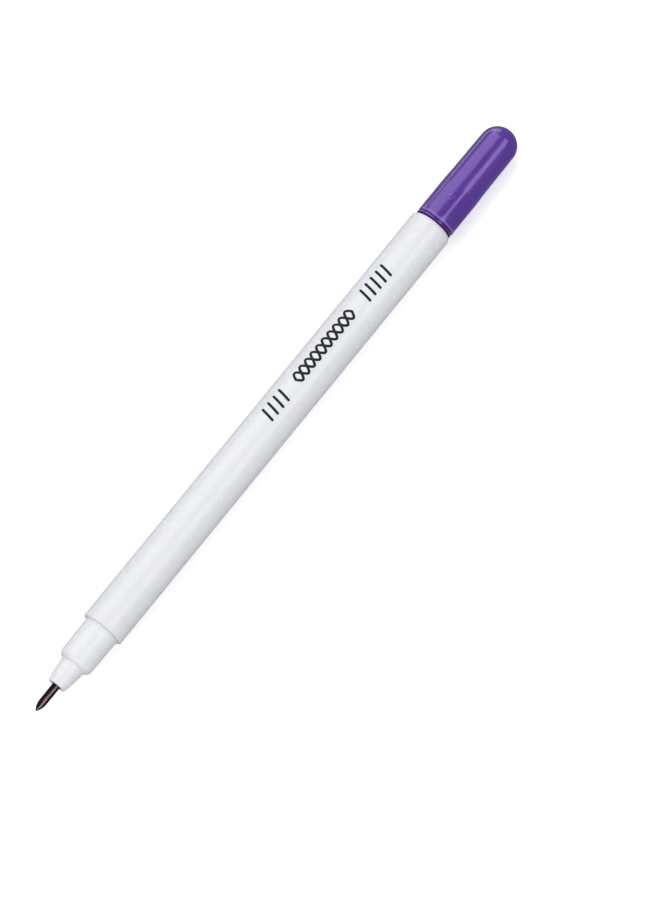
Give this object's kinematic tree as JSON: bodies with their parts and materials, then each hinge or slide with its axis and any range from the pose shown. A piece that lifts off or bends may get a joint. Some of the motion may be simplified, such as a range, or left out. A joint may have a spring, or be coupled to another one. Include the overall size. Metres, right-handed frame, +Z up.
{
  "type": "fabric marking pen",
  "caption": "Slim round fibre-tip marking pen with a stepped nib holder and a domed slip-on cap posted on its tail.",
  "frame": {"origin": "on the surface that the pen lies on, under the middle of its length with the cap posted", "axes": "+X runs along the pen from the nib to the cap, +Z is up and +Y is across the pen"},
  "size_m": [0.1394, 0.0084, 0.0084],
  "materials": {
    "white_body": "satin",
    "white_section": "satin",
    "violet_plastic": "gloss",
    "nib_fibre": "bonded fibre soaked in ink",
    "reservoir_fibre": "fibre bundle soaked in ink",
    "clear_film": "clear film",
    "natural_tube": "natural"
  },
  "bodies": {
    "pen": {"barrel": "white_body", "front_section": "white_section", "nib": "nib_fibre", "reservoir_core": "reservoir_fibre", "reservoir_film": "clear_film", "breather_tube": "natural_tube", "tail_plug": "violet_plastic"},
    "cap": {"cap": "violet_plastic"}
  },
  "joints": [
    {"name": "cap_pull", "type": "slide", "parent": "pen", "child": "cap", "axis": [1, 0, 0], "range_m": [0, 0.03]}
  ]
}
